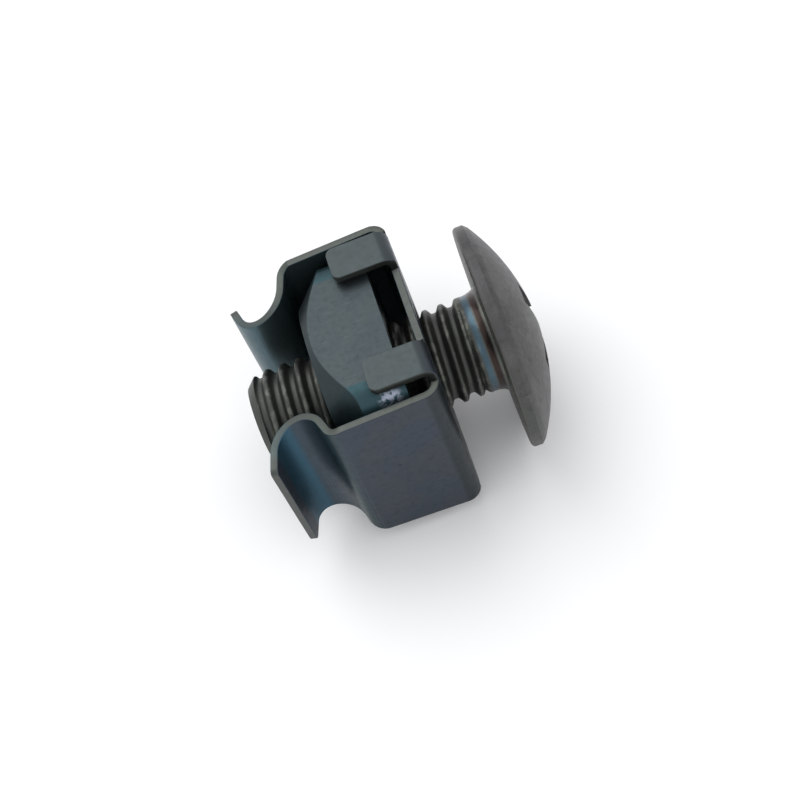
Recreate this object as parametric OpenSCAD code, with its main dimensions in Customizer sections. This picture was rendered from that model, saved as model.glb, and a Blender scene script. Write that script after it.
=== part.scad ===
// Rack cage nut: a bent spring-steel cage that holds a floating square nut,
// with its truss-head screw run in from the back of the cage.
// Frame: +X runs along the screw from the panel to the head, +Y from one wall
// of the cage to the other, +Z across the strip that the cage is bent from.
// The origin is on the screw's axis, in the middle plane of the panel that the
// wings' grooves clip on to.

/* [Screw] */
// Major diameter of the thread
thread_d = 6; // [5:0.1:6.4]
// Length of the screw under its head
screw_len = 14.6; // [12:0.1:20]
// Length of the plain neck under the head
neck_len = 1.4; // [0.6:0.1:2.5]
// Diameter of the neck where it meets the head
neck_d = 6.4; // [6.4:0.1:7]
// Length of the chamfer on the screw's tip
tip_chamfer = 0.7; // [0.3:0.1:1.2]
// Gap between the cage's web and the underside of the head
head_gap = 3.65; // [2:0.05:6]
// Diameter of the truss head
head_d = 13.8; // [12.6:0.1:15]
// Height of the truss head at its middle
head_h = 2.9; // [2.3:0.1:3.6]
// Height of the head's cylindrical rim
rim_h = 0.75; // [0.4:0.05:1.2]
// Chamfer on the lower edge of the rim
rim_chamfer = 0.2; // [0.1:0.05:0.3]
// Span of the cross recess where it opens in the dome
recess_span = 6.9; // [5.5:0.1:7.5]
// Width of each wing of the cross recess
recess_wing = 1.3; // [1:0.1:1.6]
// Depth of the cross recess below the top of the dome
recess_depth = 2.7; // [1.8:0.1:3]
// Half angle of the cross recess's flanks
recess_angle = 26.5; // [24:0.5:28]

/* [Square nut] */
// Width of the square nut across its flats
nut_side = 11.7; // [11:0.1:12.6]
// Thickness of the square nut
nut_t = 4.6; // [4:0.1:5.5]
// Radius of the nut's long corners
nut_corner_r = 2; // [1:0.1:2.4]
// How far the conical chamfer cuts in from the middle of each flat
nut_chamfer = 0.25; // [0.1:0.05:0.5]
// Radial clearance between the screw's thread and the nut's bore
thread_clear = 0.03; // [0.02:0.01:0.08]
// Depth of the countersink at each end of the nut's bore
nut_csk = 0.5; // [0.2:0.05:0.9]

/* [Cage] */
// Thickness of the spring-steel sheet
sheet_t = 0.45; // [0.35:0.05:0.6]
// Gap between each wall and the nut's flat
side_clear = 0.15; // [0.1:0.05:0.4]
// Free travel of the nut towards the web
nut_play = 1.4; // [0.6:0.1:2]
// Gap between the wings' shoulders and the nut
end_clear = 0.12; // [0.1:0.01:0.3]
// Diameter of the hole in the web
web_hole_d = 7.6; // [7:0.1:9]
// Inside radius of the bend from the web to each wall
corner_r = 0.55; // [0.4:0.05:0.9]
// How far the strip's edges stand past the nut's flats at the web
web_over = 0.15; // [0.05:0.05:0.3]
// Width of the strip where the wings leave the walls
shoulder_w = 11.4; // [10.4:0.1:11.7]

/* [Wings] */
// Inside radius of the bend from each wall to its wing
shoulder_r = 0.5; // [0.4:0.05:0.7]
// Angle of that bend
shoulder_angle = 72; // [66:1:80]
// Gap between the screw's thread and the crest of each groove
crest_clear = 0.7; // [0.4:0.05:0.9]
// Radius of the groove, on its hollow side
groove_r = 1.38; // [1.1:0.02:1.5]
// Lean of the wings' tips away from the panel
tip_lean = 15; // [5:1:25]
// Length of the straight tip on the upper wing
upper_tip = 1.0; // [0.5:0.1:1.6]
// Length of the straight tip on the lower wing
lower_tip = 1.3; // [0.5:0.1:1.8]
// Width of the upper wing at its tip
upper_tip_w = 6.6; // [5.5:0.1:9]
// Width of the lower wing at its tip
lower_tip_w = 7.8; // [5.5:0.1:9]

/* [Tabs] */
// Width of each tab that folds over the nut
tab_w = 2.3; // [1.6:0.1:2.6]
// Length of each tab, measured from the web's outer face
tab_len = 3.75; // [3:0.05:5]
// Inside radius of the tab's fold
tab_r = 0.3; // [0.2:0.05:0.5]
// Gap between each tab and the nut's flat
tab_clear = 0.35; // [0.1:0.05:0.6]
// Radius of the tab's corners
tab_corner_r = 0.5; // [0.2:0.05:0.8]
// Width of the relief notch on each side of a tab
relief_w = 0.3; // [0.2:0.05:0.45]
// Depth of the relief notch below the fold
relief_depth = 0.35; // [0.2:0.05:0.6]

/* [Hidden] */
$fn = 96;
// How far cutters pass through what they cut
cut = 1;
// Length by which each straight of the strip laps into its bends
lap = 0.0005;
thread_r = thread_d / 2;
nut_half = nut_side / 2;
head_r = head_d / 2;

// Walls of the cage, as distances from the screw's axis
wall_in = nut_half + side_clear;
wall_out = wall_in + sheet_t;
web_half_w = nut_half + web_over;

// Middle-line radii of the bends
corner_mid = corner_r + sheet_t / 2;
shoulder_mid = shoulder_r + sheet_t / 2;
groove_mid = groove_r + sheet_t / 2;
tab_mid = tab_r + sheet_t / 2;

// Stations along the strip, as distances behind the web's outer face
nut_start = sheet_t + nut_play;
nut_end = nut_start + nut_t;
nut_face_r = nut_half - nut_chamfer;
shoulder_drop = shoulder_r * (1 - cos(shoulder_angle));
wall_end = nut_end + end_clear - shoulder_r * sin(shoulder_angle)
    - (wall_in - shoulder_drop - nut_face_r) / tan(shoulder_angle);
crest_in = thread_r + crest_clear;
leg_len = (wall_in - crest_in - (shoulder_mid + groove_mid) * (1 - cos(shoulder_angle)))
    / sin(shoulder_angle);
crest_at = wall_end + (shoulder_mid + groove_mid) * sin(shoulder_angle)
    + leg_len * cos(shoulder_angle);

// The web's outer face, with the panel's middle plane at the origin
web_x = crest_at;
head_x = web_x + head_gap;

// Tabs: from the wall's corner bend inwards
tab_y_out = wall_out - corner_r - sheet_t - relief_w / 2;
tab_y_in = tab_y_out - tab_w;
tab_z_in = nut_half + tab_clear;
tab_fold_z = tab_z_in - tab_r;

// Dome of the head, a ball's cap that stands on the rim
dome_h = head_h - rim_h;
dome_r = (head_r * head_r + dome_h * dome_h) / (2 * dome_h);

// Straight stretch of sheet in section, running along +X from the origin
module flat_section(length) {
    translate([-lap, -sheet_t / 2])
        square([length + 2 * lap, sheet_t]);
}

// Wedge that holds the angles from 0 to a, for cutting sectors
module wedge(a, r) {
    polygon(concat([[0, 0]], [for (i = [0:3]) 2 * r * [cos(a * i / 3), sin(a * i / 3)]]));
}

// Bend of sheet in section: starts at the origin along +X and turns by a
module bend_section(r, a) {
    mirror([0, a > 0 ? 0 : 1])
        translate([0, r])
            rotate(-90)
                intersection() {
                    difference() {
                        circle(r + sheet_t / 2);
                        circle(r - sheet_t / 2);
                    }
                    wedge(abs(a), r + sheet_t);
                }
}

// Chain of [straight length, bend radius, bend angle] steps; the last angle is 0
module strip_section(steps, i = 0) {
    length = steps[i][0];
    r = steps[i][1];
    a = steps[i][2];
    flat_section(length);
    if (a != 0)
        translate([length, 0]) {
            bend_section(r, a);
            translate([r * sin(abs(a)), sign(a) * r * (1 - cos(a))])
                rotate(a)
                    strip_section(steps, i + 1);
        }
}

// Half of the cage in section: web, wall and wing, ending in a straight tip
module half_section(tip) {
    translate([web_x - sheet_t / 2, 0])
        rotate(90)
            strip_section([
                [wall_out - corner_r - sheet_t, corner_mid, 90],
                [wall_end - corner_r - sheet_t, shoulder_mid, shoulder_angle],
                [leg_len, groove_mid, tip_lean - 90 - shoulder_angle],
                [tip, 0, 0]
            ]);
}

// Half of the cage as bent strip, narrowing along its wing to the tip
module half_strip(tip, tip_w) {
    shoulder_x = web_x - wall_end;
    tip_x = -groove_mid * cos(tip_lean) - tip * sin(tip_lean) - sheet_t;
    intersection() {
        translate([0, 0, -web_half_w])
            linear_extrude(2 * web_half_w)
                half_section(tip);
        translate([0, -cut, 0])
            rotate([-90, 0, 0])
                linear_extrude(2 * wall_out)
                    polygon([
                        [web_x + cut, web_half_w],
                        [web_x, web_half_w],
                        [shoulder_x, shoulder_w / 2],
                        [tip_x, tip_w / 2],
                        [tip_x, -tip_w / 2],
                        [shoulder_x, -shoulder_w / 2],
                        [web_x, -web_half_w],
                        [web_x + cut, -web_half_w]
                    ]);
    }
}

// Rounded outline of a tab, square where it joins the web
module tab_outline() {
    reach = tab_len - tab_corner_r;
    translate([web_x - reach, tab_y_in])
        square([reach + cut, tab_w]);
    translate([web_x - tab_len, tab_y_in + tab_corner_r])
        square([tab_len, tab_w - 2 * tab_corner_r]);
    for (y = [tab_y_in + tab_corner_r, tab_y_out - tab_corner_r])
        translate([web_x - reach, y])
            circle(tab_corner_r);
}

// One tab, folded from the web's edge over the nut's flat
module tab() {
    root = relief_depth + sheet_t;
    intersection() {
        translate([web_x - sheet_t / 2, tab_y_out, tab_fold_z - root])
            rotate([90, 0, 0])
                linear_extrude(tab_w)
                    rotate(90)
                        strip_section([
                            [root, tab_mid, 90],
                            [tab_len - tab_r - sheet_t, 0, 0]
                        ]);
        linear_extrude(tab_z_in + 2 * sheet_t)
            tab_outline();
    }
}

// Notch that frees a tab's fold from the web and the corner bend
module tab_notch() {
    depth = corner_r + sheet_t;
    translate([web_x - depth, tab_y_in - relief_w, tab_fold_z - relief_depth])
        cube([depth + cut, tab_w + 2 * relief_w, nut_side]);
}

// Every tab position: one near each wall, on both edges of the strip
module at_tabs() {
    for (y = [0, 1], z = [0, 1])
        mirror([0, y, 0])
            mirror([0, 0, z])
                children();
}

module cage() {
    color([0.47, 0.53, 0.58]) {
        difference() {
            union() {
                half_strip(upper_tip, upper_tip_w);
                mirror([0, 1, 0])
                    half_strip(lower_tip, lower_tip_w);
            }
            at_tabs()
                tab_notch();
            translate([web_x - sheet_t - cut, 0, 0])
                rotate([0, 90, 0])
                    cylinder(d = web_hole_d, h = sheet_t + 2 * cut);
        }
        at_tabs()
            tab();
    }
}

// Square of the nut with rounded corners, seen along the screw
module nut_outline() {
    flat = nut_side - 2 * nut_corner_r;
    square([nut_side, flat], center = true);
    square([flat, nut_side], center = true);
    for (a = [45:90:315])
        rotate(a)
            translate([flat / sqrt(2), 0])
                circle(nut_corner_r);
}

// The nut, its chamfered face towards the wings
module square_nut() {
    bore_r = thread_r + thread_clear;
    color([0.62, 0.66, 0.66])
        translate([web_x - nut_end, 0, 0])
            rotate([0, 90, 0])
                difference() {
                    intersection() {
                        linear_extrude(nut_t)
                            nut_outline();
                        cylinder(r1 = nut_face_r, r2 = nut_face_r + nut_t, h = nut_t);
                    }
                    translate([0, 0, -cut])
                        cylinder(r = bore_r, h = nut_t + 2 * cut);
                    translate([0, 0, -cut])
                        cylinder(r1 = bore_r + nut_csk + cut, r2 = bore_r, h = nut_csk + cut);
                    translate([0, 0, nut_t - nut_csk])
                        cylinder(r1 = bore_r, r2 = bore_r + nut_csk + cut, h = nut_csk + cut);
                }
}

// Half section of the screw's shank and neck, its tip at the origin
module shank_half_section() {
    polygon([
        [0, 0],
        [thread_r - tip_chamfer, 0],
        [thread_r, tip_chamfer],
        [thread_r, screw_len - neck_len],
        [neck_d / 2, screw_len],
        [neck_d / 2, screw_len + rim_h],
        [0, screw_len + rim_h]
    ]);
}

// Half section of the head: a chamfered rim under a shallow dome
module head_half_section() {
    polygon([
        [0, screw_len],
        [head_r - rim_chamfer, screw_len],
        [head_r, screw_len + rim_chamfer],
        [head_r, screw_len + rim_h],
        [0, screw_len + rim_h]
    ]);
    intersection() {
        translate([0, screw_len + head_h - dome_r])
            circle(dome_r);
        translate([0, screw_len + rim_h])
            square([head_r, head_h]);
    }
}

// Cross recess: two crossed slots whose ends lean in with depth
module cross_recess() {
    floor_z = screw_len + head_h - recess_depth;
    lean = tan(recess_angle);
    floor_r = recess_span / 2 - recess_depth * lean;
    intersection() {
        for (a = [0, 90])
            rotate(a)
                translate([-head_r, -recess_wing / 2, floor_z])
                    cube([head_d, recess_wing, head_h]);
        translate([0, 0, floor_z])
            cylinder(r1 = floor_r, r2 = floor_r + head_h * lean, h = head_h);
    }
}

module screw() {
    color([0.55, 0.56, 0.54])
        translate([head_x - screw_len, 0, 0])
            rotate([0, 90, 0])
                difference() {
                    rotate_extrude() {
                        shank_half_section();
                        head_half_section();
                    }
                    cross_recess();
                }
}

cage();
square_nut();
screw();
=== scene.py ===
# %% [markdown]
# # A rack cage nut, from flat blank to dressed model
# A square nut floats in a cage of bent spring sheet, and a truss-head screw is
# driven through both. The CAD model gives the sizes and the places. This lesson
# makes each of the three pieces again with its fine detail: rounded sheared
# edges, a cut thread, a pressed dome, and the tints of a zinc finish.
# Every length is in metres and every piece is made in the CAD model's own frame:
# X runs along the screw towards its head, Z points up.

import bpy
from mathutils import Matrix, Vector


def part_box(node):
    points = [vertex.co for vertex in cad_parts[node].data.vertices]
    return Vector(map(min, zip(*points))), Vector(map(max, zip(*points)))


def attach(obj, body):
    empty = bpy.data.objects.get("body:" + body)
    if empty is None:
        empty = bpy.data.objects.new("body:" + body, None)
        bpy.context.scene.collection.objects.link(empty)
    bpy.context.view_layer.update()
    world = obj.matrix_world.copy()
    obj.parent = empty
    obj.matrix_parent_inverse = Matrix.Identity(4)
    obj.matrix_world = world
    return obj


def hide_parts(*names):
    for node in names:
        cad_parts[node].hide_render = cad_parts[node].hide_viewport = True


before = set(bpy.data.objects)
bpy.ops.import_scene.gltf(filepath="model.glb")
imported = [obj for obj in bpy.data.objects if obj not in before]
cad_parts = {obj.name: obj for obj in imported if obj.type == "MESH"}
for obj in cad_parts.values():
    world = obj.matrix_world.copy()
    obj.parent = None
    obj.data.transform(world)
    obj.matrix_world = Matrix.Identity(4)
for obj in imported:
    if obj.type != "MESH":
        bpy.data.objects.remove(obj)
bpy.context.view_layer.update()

# %% [markdown]
# ## Tools, units and the CAD boxes
# bpy makes objects, lights and node trees, and bmesh makes meshes point by point.
# The box of each CAD piece is read once here, so that the ends of the new pieces
# come from the CAD model and aren't typed a second time.

# %% Tools for the lesson
from math import atan2, cos, pi, radians, sin, sqrt, tan

import bmesh
import bpy
from mathutils import Matrix, Vector

MM = 0.001
HAIR = 1e-7  # metres, closer than this two points count as one
cage_low, cage_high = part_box("cage")
nut_low, nut_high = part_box("square_nut")
screw_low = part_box("screw")[0]
print("CAD box of the cage, mm:", [round(v / MM, 2) for v in (*cage_low, *cage_high)])

# %% [markdown]
# ## Helpers for node trees
# A geometry tree and a material are both built from nodes and links. Adding them
# by hand in the editor is fine for one tree, but a script stays short when one
# helper adds a node, sets its values and joins its sockets in a single line.


# %% Helpers for node trees
def add(tree, kind, inputs=None, **settings):
    """Adds a node; an input is given as a plain value or as another node's socket."""
    made = tree.nodes.new(kind)
    for name, value in settings.items():
        setattr(made, name, value)
    for key, value in (inputs or {}).items():
        if isinstance(value, bpy.types.NodeSocket):
            tree.links.new(value, made.inputs[key])
        else:
            made.inputs[key].default_value = value
    return made


def calc(tree, operation, *values):
    """One Math node, as its result socket."""
    made = add(tree, "ShaderNodeMath", dict(enumerate(values)), operation=operation)
    return made.outputs[0]


def new_geometry_tree(name, inputs):
    """An empty geometry tree with named inputs, as (tree, input sockets, output node)."""
    tree = bpy.data.node_groups.new(name, "GeometryNodeTree")
    face = tree.interface
    face.new_socket("Geometry", in_out="INPUT", socket_type="NodeSocketGeometry")
    face.new_socket("Geometry", in_out="OUTPUT", socket_type="NodeSocketGeometry")
    for label, kind in inputs.items():
        face.new_socket(label, in_out="INPUT", socket_type="NodeSocket" + kind)
    start = tree.nodes.new("NodeGroupInput")
    end = tree.nodes.new("NodeGroupOutput")
    return tree, start.outputs, end


def bake(piece, tree, sizes):
    """Runs the tree on the piece with these sizes and keeps the result as a plain mesh."""
    modifier = piece.modifiers.new(tree.name, "NODES")
    modifier.node_group = tree
    for item in tree.interface.items_tree:
        if item.item_type == "SOCKET" and item.in_out == "INPUT" and item.name in sizes:
            modifier[item.identifier] = sizes[item.name]
    graph = bpy.context.evaluated_depsgraph_get()
    result = bpy.data.meshes.new_from_object(piece.evaluated_get(graph))
    piece.modifiers.clear()
    piece.data = result
    print(piece.name, "has", len(result.vertices), "vertices after", tree.name)
    return piece


def end_tree(tree, geometry, finish, end):
    """Ends a tree with real geometry that carries its finish."""
    real = add(tree, "GeometryNodeRealizeInstances", {0: geometry})
    done = add(tree, "GeometryNodeSetMaterial", {"Geometry": real.outputs[0], "Material": finish})
    tree.links.new(done.outputs[0], end.inputs[0])


def new_piece(name, mesh=None):
    """An object at the origin, linked to the scene."""
    piece = bpy.data.objects.new(name, mesh or bpy.data.meshes.new(name))
    bpy.context.scene.collection.objects.link(piece)
    return piece


# %% [markdown]
# ## Sizes of the sheet
# The cage starts as a flat blank of 0.45 mm spring steel. A sheet keeps the
# length of its middle line when it is bent, so every bend is given by where it
# starts on the flat blank, by the radius of the middle line, and by its angle.

# %% Sizes of the sheet
SHEET = 0.45 * MM
CORNER_IN = 0.55 * MM
corner_mid = CORNER_IN + SHEET / 2
shoulder_mid = 0.5 * MM + SHEET / 2
groove_mid = 1.38 * MM + SHEET / 2
tab_mid = 0.3 * MM + SHEET / 2
shoulder_angle = radians(72)
groove_angle = radians(147)
WEB_X = cage_high.x - SHEET / 2
WALL_OUT = 6.45 * MM
SHOULDER_X = 2.4385 * MM  # where each wall ends, from the panel's middle plane
wall_end = WEB_X + SHEET / 2 - SHOULDER_X
print("middle radii of the bends, mm:",
      [round(v / MM, 3) for v in (corner_mid, shoulder_mid, groove_mid, tab_mid)])

# %% [markdown]
# ## Where each bend starts
# Walking along the middle line from the centre of the web gives three lines on
# each side: the corner beside the web, the shoulder at the end of the wall, and
# the groove that lets the wing grip a panel's edge.

# %% Where each bend starts
CREST_IN = 3.7 * MM
UPPER_TIP, LOWER_TIP = 1.0 * MM, 1.3 * MM
both_mid = shoulder_mid + groove_mid
leg = (WALL_OUT - SHEET - CREST_IN - both_mid * (1 - cos(shoulder_angle))) / sin(shoulder_angle)
corner_line = WALL_OUT - (CORNER_IN + SHEET)
shoulder_line = corner_line + corner_mid * pi / 2 + wall_end - (CORNER_IN + SHEET)
groove_line = shoulder_line + shoulder_mid * shoulder_angle + leg
groove_end = groove_line + groove_mid * groove_angle
upper_end = groove_end + UPPER_TIP
lower_end = groove_end + LOWER_TIP
tab_fold = 5.9 * MM
print("bend lines, mm:", [round(v / MM, 3) for v in (corner_line, shoulder_line, groove_line, groove_end)])

# %% [markdown]
# ## Width of the blank
# The strip narrows from the web to its tips. That taper belongs to the folded
# cage, and goes by how far a point ends up behind the web. So the width of the
# flat blank is found by walking the middle line round its bends first.

# %% Width of the blank
WEB_HALF, SHOULDER_HALF = 6.0 * MM, 5.7 * MM
UPPER_TIP_WIDTH, LOWER_TIP_WIDTH = 6.6 * MM, 7.8 * MM
TIP_LEAN, TIP_PAST = radians(15), 0.3 * MM  # the tips lean and reach past the groove
PAST_ALL = 9 * MM  # a straight longer than what is left after the last bend


def place_on_middle_line(along):
    """How far a point of the flat blank ends up behind the web, once folded."""
    x, angle, left = 0.0, 0.0, along
    steps = (
        (corner_line, corner_mid, pi / 2),
        (shoulder_line - corner_line - corner_mid * pi / 2, shoulder_mid, shoulder_angle),
        (leg, groove_mid, -groove_angle),
        (PAST_ALL, 1.0, 0.0),
    )
    for straight, radius, bend in steps:
        run = min(left, straight)
        x += run * sin(angle)
        left -= run
        turn = min(left / radius, abs(bend)) if left > 0 else 0
        side = 1 if bend > 0 else -1
        x += side * radius * (cos(angle) - cos(angle + side * turn))
        angle += side * turn
        left -= turn * radius
        if left <= 0:
            break
    return x


def half_width(along, tip_width):
    """Half of the blank's width: it narrows slowly to the shoulder, then fast to the tip."""
    behind = place_on_middle_line(abs(along)) + SHEET / 2
    tip_behind = WEB_X + SHEET / 2 + (groove_mid * cos(TIP_LEAN) + TIP_PAST + SHEET)
    if behind < wall_end:
        return WEB_HALF - (WEB_HALF - SHOULDER_HALF) * behind / wall_end
    share = (behind - wall_end) / (tip_behind - wall_end)
    return SHOULDER_HALF + share * (tip_width / 2 - SHOULDER_HALF)


print("half width at the shoulder and the tip, mm:",
      [round(half_width(along, LOWER_TIP_WIDTH) / MM, 2) for along in (shoulder_line, lower_end)])

# %% [markdown]
# ## The flat blank
# A press cuts the blank in one stroke: outline, round hole, four tabs and a
# relief notch beside each tab. It could be modelled already bent, but cutting it
# flat first keeps the hole round and the notches square, as in the real tool.

# %% Outline of the blank
HOLE_R = 3.8 * MM


def arc(cx, cy, radius, start, end, count):
    """Points on an arc, ends included, angles in degrees."""
    angles = [radians(start + (end - start) * i / count) for i in range(count + 1)]
    return [(cx + radius * cos(a), cy + radius * sin(a)) for a in angles]


def tab_edge():
    """The blank's edge past one tab, notch to notch, on the side of growing length."""
    inner, outer, floor = 3.0 * MM, 5.3 * MM, 5.55 * MM
    straight, round_r, notch = 3.0 * MM, 0.5 * MM, 0.3 * MM
    end = tab_fold + tab_mid * pi / 2 + straight
    points = [(inner - notch, half_width(inner - notch, 0)), (inner - notch, floor), (inner, floor)]
    points += arc(inner + round_r, end - round_r, round_r, 180, 90, 6)
    points += arc(outer - round_r, end - round_r, round_r, 90, 0, 6)
    points += [(outer, floor), (outer + notch, floor), (outer + notch, half_width(outer + notch, 0))]
    return points


def half_outline(length, tip_width):
    """Half of the blank, from the middle of the web to one tip, hole included."""
    tip_r, tip_cut, past_tabs, steps = 0.25 * MM, 0.07 * MM, 5.7 * MM, 60
    edge = tab_edge()
    for i in range(steps + 1):
        along = past_tabs + (length - tip_r - past_tabs) * i / steps
        edge.append((along, half_width(along, tip_width)))
    tip = half_width(length, tip_width)
    edge.append((length - tip_cut, tip - tip_cut))
    edge.append((length, tip - tip_r))
    other = [(x, -y) for x, y in reversed(edge)]
    hole = arc(0, 0, HOLE_R, -90, 90, 48)
    return [(0, WEB_HALF)] + edge + other + [(0, -WEB_HALF)] + hole


print("one tab's edge has", len(tab_edge()), "points")

# %% Cut the blank
TAB_STEPS = 14


def cut_blank():
    """The flat blank as faces, with a cross line wherever the sheet will curve."""
    bm = bmesh.new()
    for side, length, tip_width in (
        (1, upper_end, UPPER_TIP_WIDTH),
        (-1, lower_end, LOWER_TIP_WIDTH),
    ):
        outline = [(x * side, y) for x, y in half_outline(length, tip_width)]
        if side < 0:
            outline.reverse()
        face = bm.faces.new([bm.verts.new((x, y, 0)) for x, y in outline])
        face.normal_update()
        if face.normal.z < 0:
            face.normal_flip()
    bmesh.ops.remove_doubles(bm, verts=bm.verts, dist=0.001 * MM)
    lines = []
    for line, arc_length, count in (
        (corner_line, corner_mid * pi / 2, 18),
        (shoulder_line, shoulder_mid * shoulder_angle, 14),
        (groove_line, groove_mid * groove_angle, 40),
    ):
        lines += [line + arc_length * i / count for i in range(count + 1)]
    cuts = [((x * side, 0, 0), (1, 0, 0)) for x in lines for side in (1, -1)]
    fold = [tab_fold + tab_mid * pi / 2 * i / TAB_STEPS for i in range(1, TAB_STEPS + 1)]
    cuts += [((0, y * side, 0), (0, 1, 0)) for y in fold if y > WEB_HALF for side in (1, -1)]
    for place, normal in cuts:
        geometry = bm.verts[:] + bm.edges[:] + bm.faces[:]
        bmesh.ops.bisect_plane(bm, geom=geometry, dist=HAIR, plane_co=place, plane_no=normal)
    mesh = bpy.data.meshes.new("blank")
    bm.to_mesh(mesh)
    bm.free()
    return new_piece("spring_cage", mesh)


cage = cut_blank()
print("the flat blank has", len(cage.data.polygons), "faces")

# %% [markdown]
# ## Thickness and sheared edges
# Solidify gives the blank its gauge, and a small bevel rolls the sheared edges
# over. Both are simplest while the sheet is flat: every corner is square there.

# %% Thickness and sheared edges
thicken = cage.modifiers.new("gauge", "SOLIDIFY")
thicken.thickness = SHEET
thicken.offset = 0
rounding = cage.modifiers.new("sheared_edge", "BEVEL")
rounding.width = 0.05 * MM
rounding.segments = 3
rounding.limit_method = "ANGLE"
rounding.angle_limit = radians(50)
rounding.use_clamp_overlap = False
print("edge rounding, mm:", round(rounding.width / MM, 3))

# %% [markdown]
# ## One bend, as a node group
# A press brake makes the same move at every bend: up to a line the sheet stays
# flat, then it runs round the tool, and past the tool it leaves straight. That
# rule is one node group. It reads each point as a length towards the bend and a
# height over the sheet's middle, and turns both about the tool's centre.


# %% One bend, as a node group
def bend_rule():
    """Geometry group: bends what lies past a line round a cylinder of the given radius."""
    tree, given, end = new_geometry_tree("press_one_bend", {
        "Selection": "Bool", "Direction": "Vector", "Line": "Float",
        "Radius": "Float", "Angle": "Float", "Side": "Float",
    })
    place = add(tree, "GeometryNodeInputPosition").outputs[0]
    forward = add(tree, "ShaderNodeVectorMath", {0: place, 1: given["Direction"]}, operation="DOT_PRODUCT")
    u = forward.outputs["Value"]
    t = add(tree, "ShaderNodeSeparateXYZ", {0: place}).outputs["Z"]
    reach = calc(tree, "SUBTRACT", u, given["Line"])
    turned = calc(tree, "DIVIDE", reach, given["Radius"])
    turned = calc(tree, "MINIMUM", calc(tree, "MAXIMUM", turned, 0.0), given["Angle"])
    full_arc = calc(tree, "MULTIPLY", given["Radius"], given["Angle"])
    straight = calc(tree, "MAXIMUM", calc(tree, "SUBTRACT", reach, full_arc), 0.0)
    height = calc(tree, "MULTIPLY", t, given["Side"])
    around = calc(tree, "ADD", given["Radius"], height)
    sine, cosine = calc(tree, "SINE", turned), calc(tree, "COSINE", turned)
    new_u = calc(tree, "MINIMUM", u, given["Line"])
    new_u = calc(tree, "ADD", new_u, calc(tree, "MULTIPLY", around, sine))
    new_u = calc(tree, "ADD", new_u, calc(tree, "MULTIPLY", straight, cosine))
    new_t = calc(tree, "SUBTRACT", calc(tree, "MULTIPLY", around, cosine), given["Radius"])
    new_t = calc(tree, "SUBTRACT", new_t, calc(tree, "MULTIPLY", straight, sine))
    new_t = calc(tree, "MULTIPLY", new_t, given["Side"])
    move_u = calc(tree, "SUBTRACT", new_u, u)
    along = add(tree, "ShaderNodeVectorMath", {0: given["Direction"], "Scale": move_u}, operation="SCALE")
    up = add(tree, "ShaderNodeCombineXYZ", {"Z": calc(tree, "SUBTRACT", new_t, t)})
    shift = add(tree, "ShaderNodeVectorMath", {0: along.outputs[0], 1: up.outputs[0]}, operation="ADD")
    moved = add(tree, "GeometryNodeSetPosition", {
        "Geometry": given["Geometry"], "Selection": given["Selection"], "Offset": shift.outputs[0]})
    tree.links.new(moved.outputs[0], end.inputs[0])
    return tree


press_one_bend = bend_rule()
print("one bend takes", len(press_one_bend.nodes), "nodes")

# %% [markdown]
# ## The whole press, as a tree
# The blank is folded from the outside in, because a bend near the web carries
# everything beyond it along: tabs first, then grooves, shoulders and corners.
# Before the first bend the tree writes each point's flat place on the mesh, so
# that the finish can follow the rolled sheet round every bend.

# %% The whole press, as a tree
BENDS = ("Tab", "Groove", "Shoulder", "Corner")


def press_tree():
    """Geometry tree: folds the flat blank into the cage and puts it behind the panel."""
    sizes = {bend + " " + what: "Float" for bend in BENDS for what in ("line", "radius", "angle")}
    sizes.update({"Web place": "Float", "Tab zone": "Float", "Finish": "Material"})
    tree, given, end = new_geometry_tree("fold_the_cage", sizes)
    flat = add(tree, "GeometryNodeInputPosition").outputs[0]
    noted = add(tree, "GeometryNodeStoreNamedAttribute", {
        "Geometry": given["Geometry"], "Name": "flat_place", "Value": flat}, data_type="FLOAT_VECTOR")
    geometry = noted.outputs[0]
    parts = add(tree, "ShaderNodeSeparateXYZ", {0: flat}).outputs
    in_tabs = add(tree, "FunctionNodeCompare", {
        0: calc(tree, "ABSOLUTE", parts["X"]), 1: given["Tab zone"]}, operation="LESS_THAN").outputs[0]
    for bend in BENDS:
        for sign in (1, -1):
            press = add(tree, "GeometryNodeGroup", node_tree=press_one_bend)
            tree.links.new(geometry, press.inputs["Geometry"])
            if bend == "Tab":
                tree.links.new(in_tabs, press.inputs["Selection"])
                press.inputs["Direction"].default_value = (0, sign, 0)
            else:
                press.inputs["Selection"].default_value = True
                press.inputs["Direction"].default_value = (sign, 0, 0)
            press.inputs["Side"].default_value = -1 if bend == "Groove" else 1
            for what in ("Line", "Radius", "Angle"):
                tree.links.new(given[f"{bend} {what.lower()}"], press.inputs[what])
            geometry = press.outputs[0]
    pressed = add(tree, "GeometryNodeInputPosition").outputs[0]
    folded = add(tree, "ShaderNodeSeparateXYZ", {0: pressed}).outputs
    behind = calc(tree, "ADD", folded["Z"], given["Web place"])
    home = add(tree, "ShaderNodeCombineXYZ", {"X": behind, "Y": folded["X"], "Z": folded["Y"]})
    placed = add(tree, "GeometryNodeSetPosition", {"Geometry": geometry, "Position": home.outputs[0]})
    end_tree(tree, placed.outputs[0], given["Finish"], end)
    return tree


fold_the_cage = press_tree()
print("the press takes", len(fold_the_cage.nodes), "nodes")

# %% [markdown]
# ## Fold the cage
# The modifier's inputs get this cage's own lines, radii and angles, and the
# folded sheet is kept as a plain mesh. Its box should be the CAD cage's box.

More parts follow.
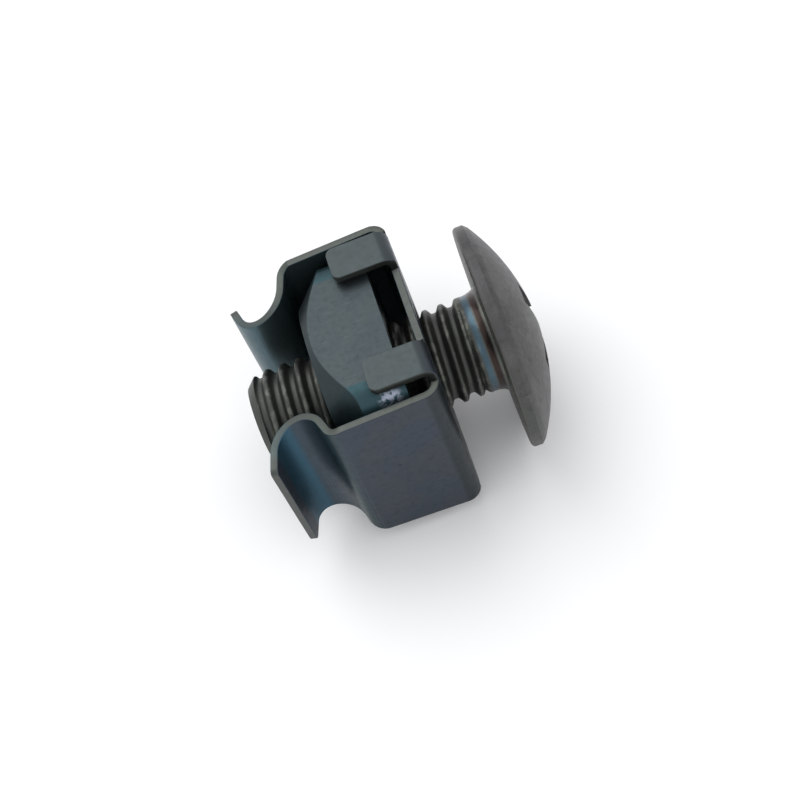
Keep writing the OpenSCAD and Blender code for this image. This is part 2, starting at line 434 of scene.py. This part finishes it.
# %% Fold the cage
TAB_ZONE = 5.5 * MM  # only this close to the middle does the press fold tabs
cage_zinc = bpy.data.materials.new("cage_zinc_finish")
bake(cage, fold_the_cage, {
    "Tab line": tab_fold, "Tab radius": tab_mid, "Tab angle": pi / 2,
    "Groove line": groove_line, "Groove radius": groove_mid, "Groove angle": groove_angle,
    "Shoulder line": shoulder_line, "Shoulder radius": shoulder_mid, "Shoulder angle": shoulder_angle,
    "Corner line": corner_line, "Corner radius": corner_mid, "Corner angle": pi / 2,
    "Web place": WEB_X, "Tab zone": TAB_ZONE, "Finish": cage_zinc,
})


def corners_mm(piece):
    """Lowest and highest corners of a piece, in millimetres."""
    spots = [v.co for v in piece.data.vertices]
    return [round(f(v[i] for v in spots) / MM, 2) for f in (min, max) for i in range(3)]


print("cage, made:", corners_mm(cage))
print("cage, CAD: ", [round(v / MM, 2) for v in (*cage_low, *cage_high)])

# %% [markdown]
# ## The square nut
# The nut is sliced from square bar with rounded corners, and its leading face is
# turned to a shallow cone, so that the chamfer bites deep at the corners and
# only grazes the middle of each flat. Columns of points round the bore follow
# that rule exactly: each column walks from the bore over the cone to the flat.

# %% The square nut
FACE_R, NUT_SIDES = 5.6 * MM, 192


def bar_radius(angle):
    """Distance from the axis to the outline of the rounded square bar."""
    half, round_r = 5.85 * MM, 2.0 * MM
    a = abs((angle + pi / 4) % (pi / 2) - pi / 4)
    centre = half - round_r
    if tan(a) * half <= centre:
        return half / cos(a)
    along = centre * (cos(a) + sin(a))
    off = centre * (cos(a) - sin(a))
    return along + sqrt(round_r * round_r - off * off)


def nut_column(angle):
    """Points (x, radius) of the nut's surface at one angle, from bore to bore."""
    low, high = nut_low.x, nut_high.x
    bore, sink, middle, steps = 3.03 * MM, 3.53 * MM, 4.5 * MM, 6
    outside = bar_radius(angle)
    bite = low + max(outside - FACE_R, 0)
    front = [(low + sink - bore, bore), (low, sink), (low, middle), (low, FACE_R)]
    side = [(bite + (high - bite) * i / steps, outside) for i in range(steps + 1)]
    back = [(high, middle), (high, sink), (high - sink + bore, bore)]
    return front + side + back


def shell_from_columns(name, columns):
    """A closed mesh from columns of points round the X axis, given as (angle, [(x, radius)])."""
    bm = bmesh.new()
    rings = [[bm.verts.new((x, r * cos(a), r * sin(a))) for x, r in points] for a, points in columns]
    for i, ring in enumerate(rings):
        after = rings[(i + 1) % len(rings)]
        for j in range(len(ring)):
            k = (j + 1) % len(ring)
            bm.faces.new((ring[j], after[j], after[k], ring[k]))
    bmesh.ops.remove_doubles(bm, verts=bm.verts, dist=1e-8)
    bmesh.ops.recalc_face_normals(bm, faces=bm.faces)
    mesh = bpy.data.meshes.new(name)
    bm.to_mesh(mesh)
    bm.free()
    return new_piece(name, mesh)


nut_angles = [2 * pi * i / NUT_SIDES for i in range(NUT_SIDES)]
nut = shell_from_columns("floating_nut", [(a, nut_column(a)) for a in nut_angles])
nut_zinc = bpy.data.materials.new("nut_zinc_finish")
nut.data.materials.append(nut_zinc)
print("nut, made:", corners_mm(nut))

# %% [markdown]
# ## Sizes of the screw
# A screw is measured under its head. From the tip come the thread, the plain
# neck, the head's seat, its rim and the top of its dome.

# %% Sizes of the screw
SCREW_LENGTH, NECK_LENGTH = 14.6 * MM, 1.4 * MM
RIM_HEIGHT, HEAD_HEIGHT, HEAD_R = 0.75 * MM, 2.9 * MM, 6.9 * MM
CREST_R, ROOT_R, TIP_R = 2.99 * MM, 2.62 * MM, 2.3 * MM
PITCH, ROWS_PER_TURN, SIDES = 1.0 * MM, 14, 144
TIP_X = screw_low.x
NECK_X = TIP_X + (SCREW_LENGTH - NECK_LENGTH)
SEAT_X = TIP_X + SCREW_LENGTH
RIM_X = SEAT_X + RIM_HEIGHT
DOME_X = SEAT_X + HEAD_HEIGHT
print("neck, seat, rim, dome, mm:", [round(v / MM, 3) for v in (NECK_X, SEAT_X, RIM_X, DOME_X)])

# %% [markdown]
# ## The screw's thread
# A rolled thread is a ridge that climbs one pitch per turn. A tube of points
# whose rows follow that helix keeps the crest and the root sharp with few faces.
# In the tree each point's radius comes from where it stands between two crests;
# the tip's chamfer and the run-out at the neck are limits on that radius.

# %% The thread, as a tree
CREST_HALF, ROOT_FROM = 0.07, 0.40  # as shares of the pitch, from the crest's middle


def thread_tree():
    """Geometry tree: a tube with a helical ridge, a chamfered tip and a run-out."""
    tree, given, end = new_geometry_tree("roll_the_thread", {
        "Sides": "Int", "Turns": "Int", "Rows per turn": "Int",
        "Tip": "Float", "End": "Float", "Pitch": "Float", "Run-out": "Float",
        "Crest radius": "Float", "Root radius": "Float", "Tip radius": "Float", "Finish": "Material",
    })
    rows = calc(tree, "MULTIPLY", given["Turns"], given["Rows per turn"])
    grid = add(tree, "GeometryNodeMeshGrid", {
        "Size X": 1.0, "Size Y": 1.0, "Vertices X": calc(tree, "ADD", given["Sides"], 1.0),
        "Vertices Y": calc(tree, "ADD", rows, 1.0)})
    start = add(tree, "GeometryNodeInputPosition").outputs[0]
    spot = add(tree, "ShaderNodeSeparateXYZ", {0: start}).outputs
    turn = calc(tree, "ADD", spot["X"], 0.5)
    climb = calc(tree, "ADD", spot["Y"], 0.5)
    span = calc(tree, "MULTIPLY", given["Pitch"], given["Turns"])
    x = calc(tree, "ADD", calc(tree, "MULTIPLY", climb, span), given["Tip"])
    x = calc(tree, "SUBTRACT", x, calc(tree, "MULTIPLY", turn, given["Pitch"]))
    x = calc(tree, "MINIMUM", calc(tree, "MAXIMUM", x, given["Tip"]), given["End"])
    behind = calc(tree, "SUBTRACT", x, given["Tip"])
    turns = calc(tree, "ADD", calc(tree, "DIVIDE", behind, given["Pitch"]), turn)
    phase = calc(tree, "FRACT", turns)
    away = calc(tree, "ABSOLUTE", calc(tree, "SUBTRACT", phase, 0.5))
    ridge = add(tree, "ShaderNodeMapRange", {
        "Value": away, "From Min": CREST_HALF, "From Max": ROOT_FROM, "To Min": 1.0, "To Max": 0.0},
        interpolation_type="SMOOTHSTEP").outputs[0]
    left = calc(tree, "SUBTRACT", given["End"], x)
    fading = add(tree, "ShaderNodeMapRange", {
        "Value": left, "From Min": 0.0, "From Max": given["Run-out"], "To Min": 1.0, "To Max": 0.0},
        interpolation_type="SMOOTHSTEP").outputs[0]
    ridge = calc(tree, "MAXIMUM", ridge, fading)
    depth = calc(tree, "SUBTRACT", given["Crest radius"], given["Root radius"])
    radius = calc(tree, "ADD", given["Root radius"], calc(tree, "MULTIPLY", depth, ridge))
    radius = calc(tree, "MINIMUM", radius, calc(tree, "ADD", given["Tip radius"], behind))
    angle = calc(tree, "MULTIPLY", turn, 2 * pi)
    y = calc(tree, "MULTIPLY", radius, calc(tree, "COSINE", angle))
    z = calc(tree, "MULTIPLY", radius, calc(tree, "SINE", angle))
    place = add(tree, "ShaderNodeCombineXYZ", {"X": x, "Y": y, "Z": z})
    shaped = add(tree, "GeometryNodeSetPosition", {"Geometry": grid.outputs[0], "Position": place.outputs[0]})
    closed = add(tree, "GeometryNodeMergeByDistance", {"Geometry": shaped.outputs[0], "Distance": 2 * HAIR})
    end_tree(tree, closed.outputs[0], given["Finish"], end)
    return tree


roll_the_thread = thread_tree()
print("the thread takes", len(roll_the_thread.nodes), "nodes")

# %% Roll the thread
THREAD_END = NECK_X + 0.3 * MM
turns = int((THREAD_END - TIP_X) / PITCH) + 2
screw = new_piece("truss_screw")
screw_zinc = bpy.data.materials.new("screw_zinc_finish")
bake(screw, roll_the_thread, {
    "Sides": SIDES, "Turns": turns, "Rows per turn": ROWS_PER_TURN,
    "Tip": TIP_X, "End": THREAD_END, "Pitch": PITCH, "Run-out": 0.45 * MM,
    "Crest radius": CREST_R, "Root radius": ROOT_R, "Tip radius": TIP_R, "Finish": screw_zinc,
})
print("thread, made:", corners_mm(screw))

# %% [markdown]
# ## Neck, head and dome
# These are turned forms: one half outline spun round the axis. The outline flares
# from the smooth neck to a thin ring under the head, crosses the flat seat, turns
# up over the rim and runs along the dome, part of a large ball, to its middle.


# %% Outline of the neck and head
def head_outline():
    """Half outline (x, radius) from the end of the thread to the middle of the dome."""
    points = [(THREAD_END, CREST_R), (THREAD_END + 0.1 * MM, CREST_R)]
    flare_from, flare_to = THREAD_END + 0.2 * MM, SEAT_X - 0.12 * MM
    for i in range(9):
        share = i / 8
        points.append((flare_from + (flare_to - flare_from) * share, (2.98 + 0.20 * share ** 2.2) * MM))
    points += [(SEAT_X - 0.05 * MM, 3.2 * MM), (SEAT_X, 3.23 * MM), (SEAT_X, 3.6 * MM)]
    seat_from, edge_r = 3.6 * MM, 0.25 * MM
    seat_to = HEAD_R - edge_r
    points += [(SEAT_X, seat_from + (seat_to - seat_from) * i / 6) for i in range(1, 7)]
    points += arc(SEAT_X + edge_r, seat_to, edge_r, 180, 90, 6)[1:]
    points += [(SEAT_X + 0.45 * MM, HEAD_R), (RIM_X - 0.1 * MM, HEAD_R)]
    rise, reach, steps, inset = DOME_X - RIM_X, HEAD_R, 40, 0.985
    ball = (reach * reach + rise * rise) / (2 * rise)
    widest = atan2(reach, ball - rise)
    for i in range(1, steps + 1):
        a = widest * (1 - i / steps) * inset
        points.append((DOME_X - ball + ball * cos(a), ball * sin(a)))
    return points


def ring_points(bm, x, radius):
    """One ring of points round the X axis."""
    angles = [2 * pi * i / SIDES for i in range(SIDES)]
    return [bm.verts.new((x, radius * cos(a), radius * sin(a))) for a in angles]


def spin(outline):
    """The outline spun round the X axis, as a mesh whose first ring is open."""
    bm = bmesh.new()
    rings = []
    for x, r in outline:
        rings.append([bm.verts.new((x, 0, 0))] if r < HAIR else ring_points(bm, x, r))
    for near, far in zip(rings, rings[1:]):
        for i in range(SIDES):
            k = (i + 1) % SIDES
            if len(far) == 1:
                bm.faces.new((near[i], near[k], far[0]))
            else:
                bm.faces.new((near[i], near[k], far[k], far[i]))
    return bm


print("the outline has", len(head_outline()), "points")

# %% [markdown]
# ## Join shank and head
# The thread and the head come from two methods but are one piece of steel. Their
# open rings have the same points, so merging doubles closes them, and a flat fan
# closes the tip. No edge may stay open, or the Boolean that follows would fail.


# %% Join shank and head
def join_screw():
    """Thread, neck, head and the flat end of the tip as one closed mesh."""
    bm = spin(head_outline())
    bm.from_mesh(screw.data)
    middle = bm.verts.new((TIP_X, 0, 0))
    ring = ring_points(bm, TIP_X, TIP_R)
    for i in range(SIDES):
        bm.faces.new((middle, ring[(i + 1) % SIDES], ring[i]))
    bmesh.ops.remove_doubles(bm, verts=bm.verts, dist=4 * HAIR)
    bmesh.ops.dissolve_degenerate(bm, edges=bm.edges, dist=HAIR)
    bmesh.ops.recalc_face_normals(bm, faces=bm.faces)
    open_edges = sum(1 for e in bm.edges if len(e.link_faces) != 2)
    print("screw: open edges", open_edges, "volume mm3", round(bm.calc_volume(signed=True) / MM ** 3, 1))
    bm.to_mesh(screw.data)
    bm.free()


join_screw()

# %% [markdown]
# ## The cross recess
# The driver's recess is pressed into the dome: two crossed slots whose ends lean
# inwards with depth. It is cut here with a Boolean from a solid of that shape.


# %% The cross recess
def recess_cutter():
    """A cross with sloping ends, wide at the dome and narrow at its floor."""
    depth, wing, lean = 2.7 * MM, 1.3 * MM, tan(radians(26.5))
    half_span, over, draft = 3.45 * MM, 0.6 * MM, 0.02
    floor_x = DOME_X - depth
    bm = bmesh.new()
    layers = []
    for x, rise in ((floor_x, 0.0), (DOME_X + over, depth + over)):
        reach = half_span - depth * lean + rise * lean
        w = wing / 2 + rise * draft
        corner = [(reach, -w), (reach, w), (w, w), (w, reach), (-w, reach), (-w, w),
                  (-reach, w), (-reach, -w), (-w, -w), (-w, -reach), (w, -reach), (w, -w)]
        layers.append([bm.verts.new((x, y, z)) for y, z in corner])
    bm.faces.new(layers[0])
    bm.faces.new(reversed(layers[1]))
    count = len(layers[0])
    for i in range(count):
        k = (i + 1) % count
        bm.faces.new((layers[0][i], layers[1][i], layers[1][k], layers[0][k]))
    bmesh.ops.recalc_face_normals(bm, faces=bm.faces)
    mesh = bpy.data.meshes.new("recess_cutter")
    bm.to_mesh(mesh)
    bm.free()
    return new_piece("recess_cutter", mesh)


def cut_recess():
    """Boolean of the screw with the cutter, kept as a plain mesh."""
    cutter = recess_cutter()
    cut = screw.modifiers.new("recess", "BOOLEAN")
    cut.operation = "DIFFERENCE"
    cut.solver = "EXACT"
    cut.object = cutter
    graph = bpy.context.evaluated_depsgraph_get()
    result = bpy.data.meshes.new_from_object(screw.evaluated_get(graph))
    screw.modifiers.clear()
    screw.data = result
    result.materials.clear()
    result.materials.append(screw_zinc)
    result.polygons.foreach_set("material_index", [0] * len(result.polygons))
    bpy.data.objects.remove(cutter)
    print("screw after the recess:", len(result.polygons), "faces")


cut_recess()
print("screw, made:", corners_mm(screw))

# %% [markdown]
# ## Smooth shading
# Smooth shading hides the facets of bends and turned faces. Real creases, such as
# a sheared edge or a chamfer, stay sharp past an angle that suits each piece, and
# weighted normals keep the wide flat faces flat right up to their rounded edges.


# %% Smooth shading
def shade(piece, angle):
    """Smooth shading with creases past the given angle, flats kept flat."""
    piece.data.shade_smooth()
    piece.data.set_sharp_from_angle(angle=radians(angle))
    even = piece.modifiers.new("even_normals", "WEIGHTED_NORMAL")
    even.keep_sharp = True
    print(piece.name, "is smooth below", angle, "degrees")


shade(cage, 50)
shade(nut, 28)
shade(screw, 40)

# %% [markdown]
# ## Finishes
# All three pieces are steel under a thin, dull zinc plating, and each has its
# own tone: the cage is blue-grey, the nut a little lighter and the screw olive.
# One helper lays the coats that they share, from broad clouds down to pits and
# rub marks; after it, each piece gets the tints of its own places, which follow
# its shape, and painted shade and reflections, such as the teal and blue painted
# into the grooves of the wings.


# %% Helpers for a finish
def mix(tree, share, under, over):
    """Colour over another by a share from 0 to 1; colours are triples or sockets."""
    layers = {0: share}
    for key, colour in ((6, under), (7, over)):
        layers[key] = colour if isinstance(colour, bpy.types.NodeSocket) else (*colour, 1)
    return add(tree, "ShaderNodeMix", layers, data_type="RGBA").outputs[2]


def ramp(tree, value, low, high, top=1.0):
    """A soft step: 0 below low, the top value above high."""
    return add(tree, "ShaderNodeMapRange", {
        "Value": value, "From Min": low, "From Max": high, "To Min": 0.0, "To Max": top},
        interpolation_type="SMOOTHSTEP").outputs[0]


def band(tree, value, low, high, soft, top=1.0):
    """A soft band: the top value between low and high, 0 outside."""
    rise = ramp(tree, value, low - soft, low + soft)
    fall = ramp(tree, value, high - soft, high + soft)
    return calc(tree, "MULTIPLY", calc(tree, "MULTIPLY", rise, calc(tree, "SUBTRACT", 1.0, fall)), top)


def from_axis(tree, parts):
    """Distance from the screw's axis, from a point's separate X, Y and Z."""
    squares = [calc(tree, "MULTIPLY", parts[side], parts[side]) for side in "YZ"]
    return calc(tree, "SQRT", calc(tree, "ADD", *squares))


def noise(tree, place, scale, detail=3.0, stretch=None):
    """Noise of a given scale, in waves per metre, stretched along an axis if asked."""
    if stretch:
        place = add(tree, "ShaderNodeMapping", {"Vector": place, "Scale": stretch}).outputs[0]
    return add(tree, "ShaderNodeTexNoise", {"Vector": place, "Scale": scale, "Detail": detail}).outputs["Fac"]


def plating(tree, place, base, cloud, dark, rough):
    """Clouds, grain, pits and rub marks of a zinc coat, as (colour, roughness, height)."""
    clouds = noise(tree, place, 330.0, 3.0)
    grain = noise(tree, place, 2900.0, 4.0)
    rubs = noise(tree, place, 700.0, 4.0, (1.0, 9.0, 1.0))
    colour = mix(tree, ramp(tree, clouds, 0.38, 0.62), base, cloud)
    colour = mix(tree, ramp(tree, grain, 0.52, 0.74, 0.4), colour, dark)
    lighter = tuple(1.5 * c for c in base)
    colour = mix(tree, ramp(tree, rubs, 0.60, 0.72, 0.35), colour, lighter)
    pits = add(tree, "ShaderNodeTexVoronoi", {"Vector": place, "Scale": 900.0}).outputs["Distance"]
    pit = ramp(tree, pits, 0.10, 0.05)
    patchy = ramp(tree, noise(tree, place, 260.0), 0.50, 0.62)
    pit = calc(tree, "MULTIPLY", pit, patchy)
    colour = mix(tree, calc(tree, "MULTIPLY", pit, 0.6), colour, tuple(0.4 * c for c in dark))
    roughness = calc(tree, "ADD", rough - 0.10, calc(tree, "MULTIPLY", grain, 0.22))
    height = calc(tree, "ADD", grain, calc(tree, "MULTIPLY", rubs, 0.7))
    height = calc(tree, "SUBTRACT", height, calc(tree, "MULTIPLY", pit, 0.8))
    return colour, roughness, height


def coat(material, colour, roughness, height):
    """Ends a finish: the metal shader with its colour, roughness and fine relief."""
    tree = material.node_tree
    bump = add(tree, "ShaderNodeBump", {"Height": height, "Strength": 0.5, "Distance": 0.010 * MM})
    shader = add(tree, "ShaderNodeBsdfPrincipled", {
        "Base Color": colour, "Metallic": 0.88, "Roughness": roughness, "Normal": bump.outputs[0]})
    add(tree, "ShaderNodeOutputMaterial", {"Surface": shader.outputs[0]})
    print(material.name, "has", len(tree.nodes), "nodes")


def start_finish(material):
    """The material's tree, emptied."""
    material.use_nodes = True
    material.node_tree.nodes.clear()
    return material.node_tree


def object_place(tree):
    """A point's place on its piece, in metres."""
    return add(tree, "ShaderNodeTexCoord").outputs["Object"]


# %% [markdown]
# ## Finish of the cage
# The painted shade and reflections on the sheet follow its bends, so this finish
# reads the flat place that the press noted: bands along the strip paint the shade
# and reflections of each bend, and the height over the middle line tells apart the
# sheet's inner face, painted lighter, and its sheared edges, painted with a highlight.

# %% Finish of the cage
tree = start_finish(cage_zinc)
flat = add(tree, "ShaderNodeAttribute", attribute_name="flat_place").outputs["Vector"]
colour, roughness, height = plating(
    tree, flat, (0.044, 0.057, 0.076), (0.050, 0.058, 0.072), (0.030, 0.038, 0.050), 0.42)
parts = add(tree, "ShaderNodeSeparateXYZ", {0: flat}).outputs
along, sides, depth = (calc(tree, "ABSOLUTE", parts[axis]) for axis in "XYZ")
# Painted shade and reflections in bands along the bends: the corner bend darker, the shoulder in teal shade,
# the groove grey then blue.
PAINTED_BEND_SHADE = {
    "painted shade on the corner bend": (corner_line + 0.1 * MM, corner_line + 1.2 * MM, 0.15, 0.8, (0.026, 0.034, 0.037)),
    "painted teal shade on the shoulder": (shoulder_line + 0.3 * MM, groove_line + 0.7 * MM, 0.3, 0.85, (0.016, 0.044, 0.050)),
    "painted grey reflection mid-groove": (groove_line + 0.7 * MM, groove_line + 2.2 * MM, 0.3, 0.6, (0.052, 0.078, 0.098)),
    "painted blue reflection in the groove": (groove_line + 2.3 * MM, groove_end + 0.3 * MM, 0.3, 0.85, (0.036, 0.108, 0.160)),
}
for start, stop, soft, share, tint in PAINTED_BEND_SHADE.values():
    colour = mix(tree, band(tree, along, start, stop, soft * MM, share), colour, tint)
# Painted light: the sheet's inner face is made lighter teal.
painted_inner_light = calc(tree, "SUBTRACT", 1.0, ramp(tree, parts["Z"], -0.21 * MM, -0.15 * MM))
colour = mix(tree, calc(tree, "MULTIPLY", painted_inner_light, 0.7), colour, (0.075, 0.115, 0.120))
tab_faces = ramp(tree, sides, tab_fold, tab_fold + 0.9 * MM, 0.8)
colour = mix(tree, tab_faces, colour, (0.065, 0.079, 0.078))
# Painted highlight along the sheared edges.
painted_edge_highlight = calc(tree, "SUBTRACT", 1.0, ramp(tree, depth, 0.17 * MM, 0.215 * MM))
colour = mix(tree, calc(tree, "MULTIPLY", painted_edge_highlight, 0.8), colour, (0.088, 0.095, 0.083))
coat(cage_zinc, colour, roughness, height)

# %% [markdown]
# ## Finish of the nut
# Zinc lies darker where the cone was turned; the bar's rounded corners get a
# painted teal reflection, and one corner a painted bright highlight. The cone is
# found by the rule that shaped it, so the tint ends where the flats begin.

# %% Finish of the nut
# Place of a painted bright highlight on one rounded corner of the nut.
HIGHLIGHT_PLACE = (5.67 * MM, -5.21 * MM, 5.31 * MM)
tree = start_finish(nut_zinc)
place = object_place(tree)
colour, roughness, height = plating(
    tree, place, (0.057, 0.072, 0.076), (0.052, 0.066, 0.073), (0.042, 0.052, 0.056), 0.42)
parts = add(tree, "ShaderNodeSeparateXYZ", {0: place}).outputs
# Painted teal reflection on the bar's rounded corners.
far_y = ramp(tree, calc(tree, "ABSOLUTE", parts["Y"]), 3.75 * MM, 3.95 * MM)
far_z = ramp(tree, calc(tree, "ABSOLUTE", parts["Z"]), 3.5 * MM, 3.8 * MM)
corner = calc(tree, "MULTIPLY", calc(tree, "MULTIPLY", far_y, far_z), 0.85)
colour = mix(tree, corner, colour, (0.030, 0.070, 0.082))
cone = calc(tree, "SUBTRACT", from_axis(tree, parts), parts["X"])
cone = calc(tree, "SUBTRACT", cone, FACE_R - nut_low.x)
turned = ramp(tree, cone, -0.07 * MM, -0.02 * MM, 0.75)
colour = mix(tree, turned, colour, (0.022, 0.034, 0.038))
# Painted highlight: bright speckles near that place, with lower roughness.
highlight_gap = add(tree, "ShaderNodeVectorMath", {0: place, 1: HIGHLIGHT_PLACE}, operation="DISTANCE").outputs["Value"]
highlight_speckle = ramp(tree, noise(tree, place, 3600.0, 5.0), 0.42, 0.56)
near = calc(tree, "SUBTRACT", 1.0, ramp(tree, highlight_gap, 0.35 * MM, 0.85 * MM))
painted_highlight = calc(tree, "MULTIPLY", near, highlight_speckle)
colour = mix(tree, painted_highlight, colour, (0.30, 0.33, 0.41))
coat(nut_zinc, colour, calc(tree, "SUBTRACT", roughness, calc(tree, "MULTIPLY", painted_highlight, 0.12)), height)

# %% [markdown]
# ## Finish of the screw
# The thread's crests are lighter in patches, painted reflections and a painted
# highlight ring the neck, the head's underside is painted lighter, and the dome is
# patchy. Rings along the axis and distances from it place all of these, so they
# fit the turned form exactly.

# %% Finish of the screw
tree = start_finish(screw_zinc)
place = object_place(tree)
colour, roughness, height = plating(
    tree, place, (0.080, 0.084, 0.078), (0.078, 0.075, 0.077), (0.048, 0.050, 0.045), 0.47)
parts = add(tree, "ShaderNodeSeparateXYZ", {0: place}).outputs
x, radius = parts["X"], from_axis(tree, parts)
thread_zone = calc(tree, "SUBTRACT", 1.0, ramp(tree, x, NECK_X + 0.2 * MM, NECK_X + 0.5 * MM))
colour = mix(tree, calc(tree, "MULTIPLY", thread_zone, 0.85), colour, (0.066, 0.071, 0.063))
# Painted reflections on the neck, blue then brown, and a painted highlight ring at the seat.
NECK_PAINTED_REFLECTIONS = {
    "painted blue reflection on the neck": (0.42, 0.78, (0.062, 0.105, 0.135)),
    "painted brown reflection on the neck": (0.88, 1.22, (0.034, 0.022, 0.019)),
    "painted highlight ring at the seat": (1.30, 1.42, (0.150, 0.155, 0.135)),
}
for start, stop, tint in NECK_PAINTED_REFLECTIONS.values():
    here = band(tree, x, NECK_X + start * MM, NECK_X + stop * MM, 0.05 * MM, 0.9)
    colour = mix(tree, here, colour, tint)
# The thread's crests are made lighter in noise patches.
crest = calc(tree, "MULTIPLY", ramp(tree, radius, 2.84 * MM, 2.96 * MM), thread_zone)
lighter_crests = calc(tree, "MULTIPLY", crest, ramp(tree, noise(tree, place, 1500.0), 0.46, 0.60, 0.8))
colour = mix(tree, lighter_crests, colour, (0.150, 0.156, 0.138))
# Painted light: the head's underside, by the seat, is made lighter.
painted_underside_light = band(tree, x, SEAT_X - 0.03 * MM, SEAT_X + 0.12 * MM, 0.02 * MM, 0.7)
painted_underside_light = calc(tree, "MULTIPLY", painted_underside_light, ramp(tree, radius, 3.25 * MM, 3.4 * MM))
colour = mix(tree, painted_underside_light, colour, (0.120, 0.125, 0.110))
patches = ramp(tree, noise(tree, place, 620.0, 5.0), 0.48, 0.60, 0.35)
head_zone = ramp(tree, x, SEAT_X, SEAT_X + 0.2 * MM)
colour = mix(tree, calc(tree, "MULTIPLY", patches, head_zone), colour, (0.125, 0.124, 0.122))
smooth_neck = band(tree, x, NECK_X + 0.4 * MM, SEAT_X - 0.1 * MM, 0.1 * MM, 0.2)
coat(screw_zinc, colour, calc(tree, "SUBTRACT", roughness, smooth_neck), height)

# %% [markdown]
# ## Ride on the bodies
# Each finished piece moves with one body of the CAD model and stands for that
# body's node, which is hidden but still serves for collision.

# %% Ride on the bodies
for piece, body, node, slot_name in (
    (cage, "cage", "cage", "cage_zinc"),
    (nut, "nut", "square_nut", "nut_zinc"),
    (screw, "screw", "screw", "screw_zinc"),
):
    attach(piece, body)
    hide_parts(node)
    print(piece.name, "rides on", body)

# %% [markdown]
# ## Floor
# The part lies on a plain pale sheet, which touches the head's rim from below and
# shows its shadow.

# %% Floor
FLOOR_HALF, FLOOR_Z = 0.6, -HEAD_R
corners = [(x * FLOOR_HALF, y * FLOOR_HALF, FLOOR_Z) for x, y in ((-1, -1), (1, -1), (1, 1), (-1, 1))]
floor_mesh = bpy.data.meshes.new("floor")
floor_mesh.from_pydata(corners, [], [(0, 1, 2, 3)])
floor = new_piece("floor", floor_mesh)
paint = bpy.data.materials.new("floor_paint")
paint.use_nodes = True
paint_shader = paint.node_tree.nodes["Principled BSDF"].inputs
paint_shader["Base Color"].default_value = (0.93, 0.93, 0.93, 1)
paint_shader["Roughness"].default_value = 0.9
floor_mesh.materials.append(paint)
print("floor at z, mm:", round(FLOOR_Z / MM, 2))

# %% [markdown]
# ## Light
# Bare metal shows what surrounds it, so most of the light is an even pale world.
# A large soft box above the back gives the flats their tone, and a weak one in
# front opens the shadows.

# %% Light
world = bpy.data.worlds.new("studio")
bpy.context.scene.world = world
world.use_nodes = True
sky = world.node_tree.nodes["Background"].inputs
sky["Color"].default_value = (0.97, 0.98, 1.0, 1)
sky["Strength"].default_value = 0.95
AIM = (0.006, 0, 0)


def soft_box(name, place, width, watts):
    """A square area light that looks at the part."""
    lamp = bpy.data.lights.new(name, "AREA")
    lamp.size = width
    lamp.energy = watts
    box = bpy.data.objects.new(name, lamp)
    bpy.context.scene.collection.objects.link(box)
    box.location = place
    box.rotation_euler = (Vector(AIM) - Vector(place)).to_track_quat("-Z", "Y").to_euler()
    print(name, "light:", watts, "W")


soft_box("key", (-0.08, 0.14, 0.26), 0.26, 0.33)
soft_box("fill", (0.12, -0.22, 0.20), 0.18, 0.1)

# %% [markdown]
# ## Camera
# The camera stands in front of the part and looks down on it. Its turn is three
# rotations in a row, written from the world to the camera, so their product is
# transposed to place the camera in the world.

# %% Camera
CAMERA_PLACE = (0.01002, -0.05496, 0.07666)
camera_data = bpy.data.cameras.new("camera")
camera_data.lens = 71.4
camera_data.sensor_width = 36
camera_data.clip_start = 0.005
camera = bpy.data.objects.new("camera", camera_data)
bpy.context.scene.collection.objects.link(camera)
turn = Matrix.Identity(3)
for degrees, axis in ((18.72, "Z"), (-34.68, "X"), (-3.13, "Y")):
    turn = turn @ Matrix.Rotation(radians(degrees), 3, axis)
camera.matrix_world = Matrix.Translation(CAMERA_PLACE) @ turn.transposed().to_4x4()
bpy.context.scene.camera = camera
bpy.context.scene.view_settings.view_transform = "Standard"
print("camera lens, mm:", camera_data.lens)
